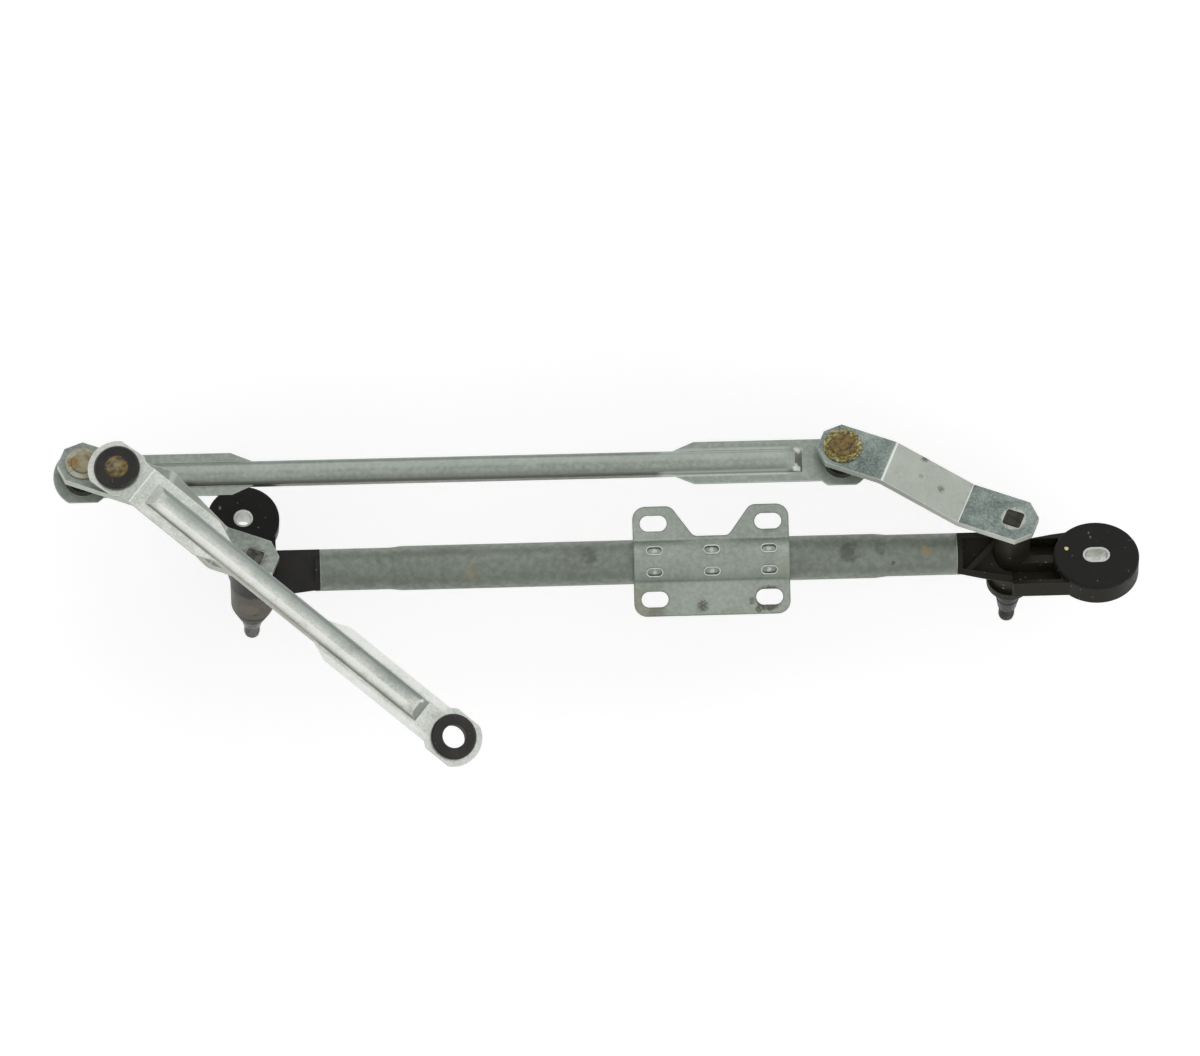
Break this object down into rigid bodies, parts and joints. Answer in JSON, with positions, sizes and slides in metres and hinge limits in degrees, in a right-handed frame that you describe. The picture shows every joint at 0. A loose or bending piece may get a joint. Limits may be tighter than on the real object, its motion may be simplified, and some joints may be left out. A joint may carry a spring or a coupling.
{
  "type": "wiper linkage",
  "caption": "Windscreen wiper linkage: tube frame with motor plate and rubber mounted ears, spindles in moulded housings, bent levers, link rod and drive rod with ball sockets.",
  "frame": {"origin": "centre of the motor plate's slot pattern, on the plate's top face", "axes": "+X along the support tube towards the oval ear, +Z out of the motor plate on the lever side, +Y across the tube towards the link rod"},
  "size_m": [0.5861, 0.1797, 0.1189],
  "materials": {
    "galvanised_tube": "galvanised, dull, blotched",
    "zinc_plate": "zinc plated, satin",
    "housing_plastic": "moulded black, dusty",
    "rubber": "matt black",
    "bright_zinc": "bright zinc",
    "bronze": "sintered",
    "spindle_steel": "dark oiled steel",
    "lever_zinc": "zinc plated",
    "blue_zinc": "blue passivated zinc",
    "greased_steel": "greased and rusty",
    "washer_plastic": "natural plastic",
    "spring_steel": "oiled",
    "socket_plastic": "black, greasy",
    "rod_zinc": "zinc plated, satin",
    "bright_rod_zinc": "zinc plated, bright"
  },
  "bodies": {
    "frame": {"support_tube": "galvanised_tube", "motor_plate": "zinc_plate", "left_housing": "housing_plastic", "right_housing": "housing_plastic", "left_grommet": "rubber", "right_grommet": "rubber", "left_sleeve": "bright_zinc", "right_sleeve": "bright_zinc", "left_upper_bush": "bronze", "left_lower_bush": "bronze", "right_upper_bush": "bronze", "right_lower_bush": "bronze", "left_seal_cap": "rubber", "right_seal_cap": "rubber"},
    "left_arm": {"left_spindle": "spindle_steel", "left_lever": "lever_zinc", "left_rod_stud": "greased_steel", "left_drive_stud": "greased_steel", "left_thrust_washer": "washer_plastic", "left_circlip": "spring_steel"},
    "right_arm": {"right_spindle": "spindle_steel", "right_lever": "blue_zinc", "right_rod_stud": "greased_steel", "right_thrust_washer": "washer_plastic", "right_circlip": "spring_steel"},
    "link_rod": {"link_rod": "rod_zinc", "link_rod_left_socket": "socket_plastic", "link_rod_right_socket": "socket_plastic"},
    "drive_rod": {"drive_rod": "bright_rod_zinc", "drive_rod_upper_socket": "socket_plastic", "drive_rod_free_socket": "socket_plastic"}
  },
  "joints": [
    {"name": "left_spindle_turn", "type": "hinge", "parent": "frame", "child": "left_arm", "pos_m": [-0.2476, 0.0079, 0.012], "axis": [0, 0.5299, 0.848], "range_deg": [-110, 0]},
    {"name": "right_spindle_turn", "type": "hinge", "parent": "frame", "child": "right_arm", "pos_m": [0.1626, 0.0183, 0.0205], "axis": [0, 0.5299, 0.848], "range_deg": [-110, 0]},
    {"name": "link_rod_pivot", "type": "hinge", "parent": "left_arm", "child": "link_rod", "pos_m": [-0.33854, 0.05351, 0.01357], "axis": [0, 0.5299, 0.848], "range_deg": [0, 110]},
    {"name": "drive_rod_swing", "type": "hinge", "parent": "left_arm", "child": "drive_rod", "pos_m": [-0.32041, 0.05669, 0.04106], "axis": [0, 0.5299, 0.848], "range_deg": [-60, 12]}
  ],
  "couplings": [
    {"joint": "right_spindle_turn", "follows": "left_spindle_turn", "ratio": 1},
    {"joint": "link_rod_pivot", "follows": "left_spindle_turn", "ratio": -1}
  ]
}
